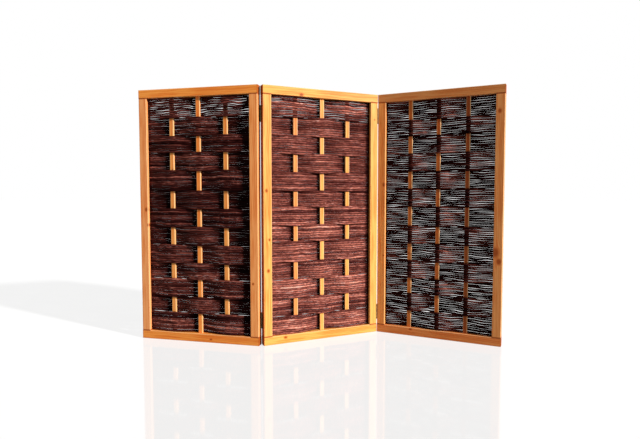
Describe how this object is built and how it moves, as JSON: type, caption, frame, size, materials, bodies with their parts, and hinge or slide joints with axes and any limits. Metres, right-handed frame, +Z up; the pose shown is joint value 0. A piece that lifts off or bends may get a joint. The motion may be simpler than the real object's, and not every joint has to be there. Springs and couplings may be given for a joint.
{
  "type": "willow folding screen",
  "caption": "Free-standing folding screen with hinged wooden frames filled with horizontal willow rods woven around upright slats.",
  "frame": {"origin": "on the floor, below the centre of the box round the screen as it stands open", "axes": "+X along the opened row of panels, from the viewer's left to right; +Y away from the viewer; +Z up"},
  "size_m": [1.7174, 0.293, 1.2],
  "materials": {
    "frame_wood": "oiled softwood, honey brown, with fine grain and small knots",
    "slat_wood": "oiled softwood slat, honey brown",
    "willow": "unpeeled willow bark, dark red brown, slightly glossy",
    "hinge_steel": "yellow passivated steel",
    "screw_steel": "yellow passivated screws"
  },
  "bodies": {
    "left_panel": {"left_top_rail": "frame_wood", "left_bottom_rail": "frame_wood", "left_left_stile": "frame_wood", "left_right_stile": "frame_wood", "left_left_slat": "slat_wood", "left_centre_slat": "slat_wood", "left_right_slat": "slat_wood", "left_odd_course_rods": "willow", "left_even_course_rods": "willow", "left_corner_screws": "screw_steel", "ridge_upper_hinge_left_leaf": "hinge_steel", "ridge_upper_hinge_left_screws": "screw_steel", "ridge_lower_hinge_left_leaf": "hinge_steel", "ridge_lower_hinge_left_screws": "screw_steel"},
    "middle_panel": {"middle_top_rail": "frame_wood", "middle_bottom_rail": "frame_wood", "middle_left_stile": "frame_wood", "middle_right_stile": "frame_wood", "middle_left_slat": "slat_wood", "middle_centre_slat": "slat_wood", "middle_right_slat": "slat_wood", "middle_odd_course_rods": "willow", "middle_even_course_rods": "willow", "middle_corner_screws": "screw_steel", "ridge_upper_hinge_middle_leaf": "hinge_steel", "ridge_upper_hinge_middle_screws": "screw_steel", "ridge_upper_hinge_pin": "hinge_steel", "ridge_lower_hinge_middle_leaf": "hinge_steel", "ridge_lower_hinge_middle_screws": "screw_steel", "ridge_lower_hinge_pin": "hinge_steel", "valley_upper_hinge_middle_leaf": "hinge_steel", "valley_upper_hinge_middle_screws": "screw_steel", "valley_upper_hinge_pin": "hinge_steel", "valley_lower_hinge_middle_leaf": "hinge_steel", "valley_lower_hinge_middle_screws": "screw_steel", "valley_lower_hinge_pin": "hinge_steel"},
    "right_panel": {"right_top_rail": "frame_wood", "right_bottom_rail": "frame_wood", "right_left_stile": "frame_wood", "right_right_stile": "frame_wood", "right_left_slat": "slat_wood", "right_centre_slat": "slat_wood", "right_right_slat": "slat_wood", "right_odd_course_rods": "willow", "right_even_course_rods": "willow", "right_corner_screws": "screw_steel", "valley_upper_hinge_right_leaf": "hinge_steel", "valley_upper_hinge_right_screws": "screw_steel", "valley_lower_hinge_right_leaf": "hinge_steel", "valley_lower_hinge_right_screws": "screw_steel"}
  },
  "joints": [
    {"name": "ridge_fold", "type": "hinge", "parent": "middle_panel", "child": "left_panel", "pos_m": [-0.26491, -0.09718, 0], "axis": [0, 0, -1], "range_deg": [-37, 143]},
    {"name": "valley_fold", "type": "hinge", "parent": "middle_panel", "child": "right_panel", "pos_m": [0.30008, 0.11146, 0], "axis": [0, 0, -1], "range_deg": [-49.5, 130.5]}
  ]
}
